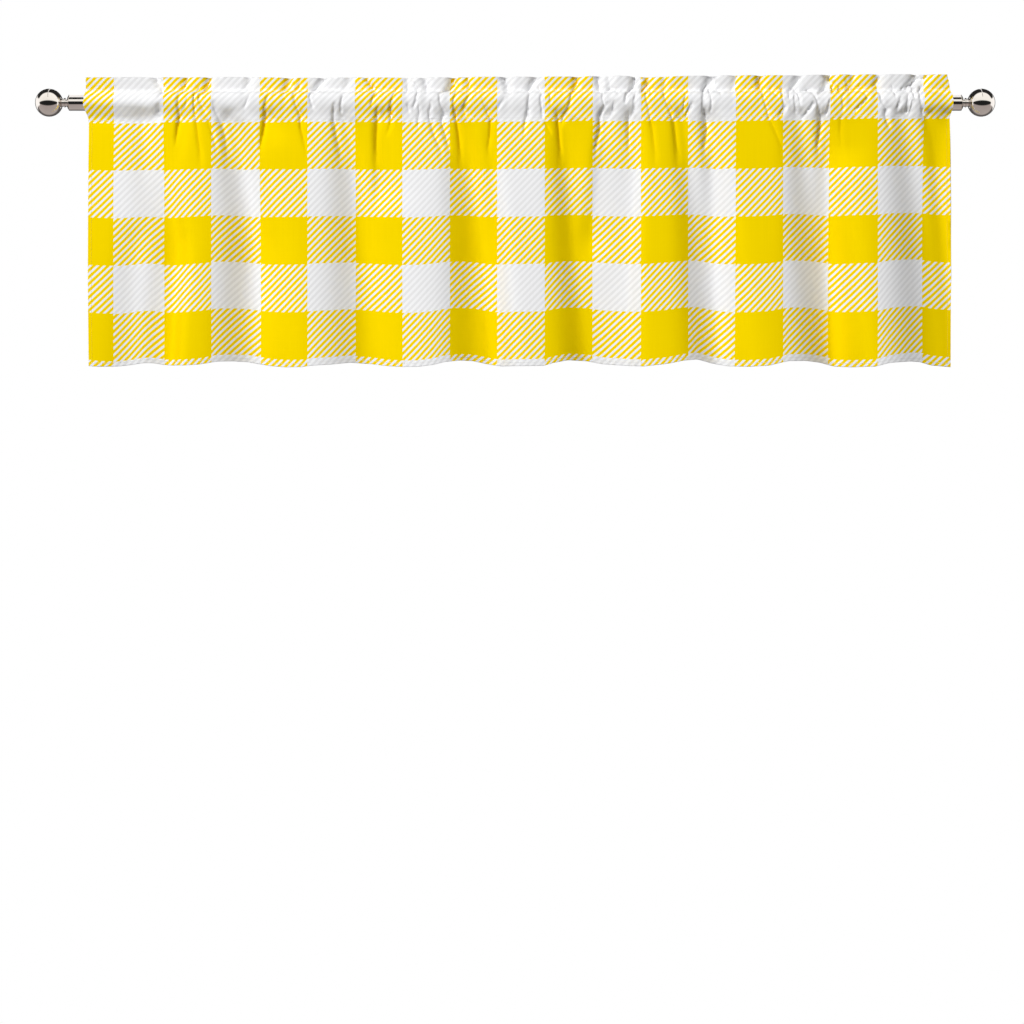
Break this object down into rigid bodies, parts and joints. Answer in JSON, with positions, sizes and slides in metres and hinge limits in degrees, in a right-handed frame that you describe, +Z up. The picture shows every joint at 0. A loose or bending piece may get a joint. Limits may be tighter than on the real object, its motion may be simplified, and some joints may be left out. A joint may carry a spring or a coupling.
{
  "type": "window valance on a curtain rod",
  "caption": "Short rod-pocket window valance in a yellow and white check, lightly gathered with a ruffled header, on a round metal curtain rod with ball finials.",
  "frame": {"origin": "on the rod's axis, half way along the rod", "axes": "+X along the rod to the viewer's right, -Y out of the front of the cloth, +Z up"},
  "size_m": [1.524, 0.0583, 0.4638],
  "materials": {
    "cloth": "matt woven check in yellow and white",
    "rod": "polished nickel plate",
    "finial": "polished nickel plate"
  },
  "bodies": {
    "root": {"valance": "cloth", "rod": "rod", "finial_left": "finial", "finial_right": "finial"}
  },
  "joints": []
}
